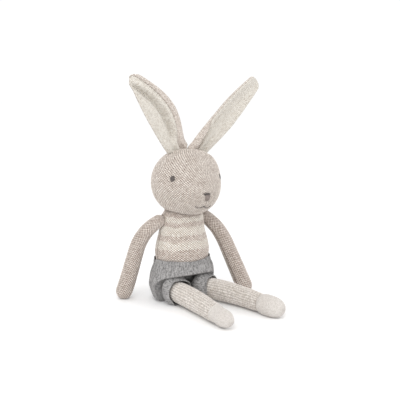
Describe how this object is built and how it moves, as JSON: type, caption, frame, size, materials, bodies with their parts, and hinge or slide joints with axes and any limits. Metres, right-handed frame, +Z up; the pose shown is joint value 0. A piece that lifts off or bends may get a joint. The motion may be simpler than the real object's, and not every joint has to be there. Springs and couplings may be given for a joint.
{
  "type": "stuffed rabbit doll",
  "caption": "Seated stuffed rabbit doll in moss-stitch knit, with tall cupped ears, long soft limbs, a striped body and woven grey shorts.",
  "frame": {"origin": "centre of the flat seat under the shorts, on the surface that the doll sits on, below the torso's axis", "axes": "+Z up along the torso, -Y the way the rabbit faces, +X towards the rabbit's left"},
  "size_m": [0.1866, 0.1897, 0.2866],
  "materials": {
    "taupe_knit": "moss-stitch cotton knit in heathered taupe",
    "cream_knit": "fine cotton knit in cream",
    "striped_knit": "fine cotton knit with uneven cream and taupe stripes",
    "ribbed_knit": "fine lengthwise ribbed cotton knit",
    "toe_knit": "plain cotton knit in off-white",
    "chambray": "slubby heathered grey cotton chambray",
    "embroidery_thread": "satin-stitch cotton in grey brown",
    "sewing_thread": "matching cotton thread",
    "stuffing": "loose polyester fibre"
  },
  "bodies": {
    "torso": {"torso_front_panel": "striped_knit", "torso_back_panel": "striped_knit", "torso_stuffing": "stuffing", "shorts_left_panel": "chambray", "shorts_right_panel": "chambray", "shorts_waist_hem": "chambray"},
    "neck": {"neck_seam_thread": "sewing_thread"},
    "head": {"head_left_panel": "taupe_knit", "head_right_panel": "taupe_knit", "head_stuffing": "stuffing", "nose_embroidery": "embroidery_thread", "mouth_embroidery": "embroidery_thread", "right_eye_embroidery": "embroidery_thread", "left_eye_embroidery": "embroidery_thread"},
    "right_ear": {"right_ear_front_layer": "cream_knit", "right_ear_back_layer": "taupe_knit"},
    "right_shoulder": {"right_arm_seam_thread": "sewing_thread"},
    "right_arm": {"right_arm_skin": "taupe_knit", "right_arm_stuffing": "stuffing"},
    "right_leg": {"right_leg_skin": "ribbed_knit", "right_toe_cap": "toe_knit", "right_leg_stuffing": "stuffing", "right_shorts_leg": "chambray"},
    "left_ear": {"left_ear_front_layer": "cream_knit", "left_ear_back_layer": "taupe_knit"},
    "left_shoulder": {"left_arm_seam_thread": "sewing_thread"},
    "left_arm": {"left_arm_skin": "taupe_knit", "left_arm_stuffing": "stuffing"},
    "left_leg": {"left_leg_skin": "ribbed_knit", "left_toe_cap": "toe_knit", "left_leg_stuffing": "stuffing", "left_shorts_leg": "chambray"}
  },
  "joints": [
    {"name": "head_turn", "type": "hinge", "parent": "torso", "child": "neck", "pos_m": [0, 0, 0.096], "axis": [0, 0, 1], "range_deg": [-38, 38], "stiffness_Nm_per_rad": 0.25},
    {"name": "head_nod", "type": "hinge", "parent": "neck", "child": "head", "pos_m": [0, 0, 0.096], "axis": [1, 0, 0], "range_deg": [-12, 8], "stiffness_Nm_per_rad": 0.6},
    {"name": "right_ear_fold", "type": "hinge", "parent": "head", "child": "right_ear", "pos_m": [-0.01203, -0.004, 0.19513], "axis": [0.7955, 0, 0.606], "range_deg": [-40, 40], "stiffness_Nm_per_rad": 0.05},
    {"name": "right_arm_swing", "type": "hinge", "parent": "torso", "child": "right_shoulder", "pos_m": [-0.0354, 0, 0.103], "axis": [1, 0, 0], "range_deg": [-95, 30]},
    {"name": "right_arm_raise", "type": "hinge", "parent": "right_shoulder", "child": "right_arm", "pos_m": [-0.0354, 0, 0.103], "axis": [0, 1, 0], "range_deg": [-3, 48]},
    {"name": "right_leg_swing", "type": "hinge", "parent": "torso", "child": "right_leg", "pos_m": [-0.02, -0.022, 0.016], "axis": [1, 0, 0], "range_deg": [-20, 90]},
    {"name": "left_ear_fold", "type": "hinge", "parent": "head", "child": "left_ear", "pos_m": [0.01994, -0.004, 0.19385], "axis": [0.707, 0.4037, -0.5806], "range_deg": [-40, 40], "stiffness_Nm_per_rad": 0.05},
    {"name": "left_arm_swing", "type": "hinge", "parent": "torso", "child": "left_shoulder", "pos_m": [0.0354, 0, 0.103], "axis": [1, 0, 0], "range_deg": [-95, 30]},
    {"name": "left_arm_raise", "type": "hinge", "parent": "left_shoulder", "child": "left_arm", "pos_m": [0.0354, 0, 0.103], "axis": [0, -1, 0], "range_deg": [-3, 48]},
    {"name": "left_leg_swing", "type": "hinge", "parent": "torso", "child": "left_leg", "pos_m": [0.02, -0.022, 0.016], "axis": [1, 0, 0], "range_deg": [-20, 90]}
  ]
}
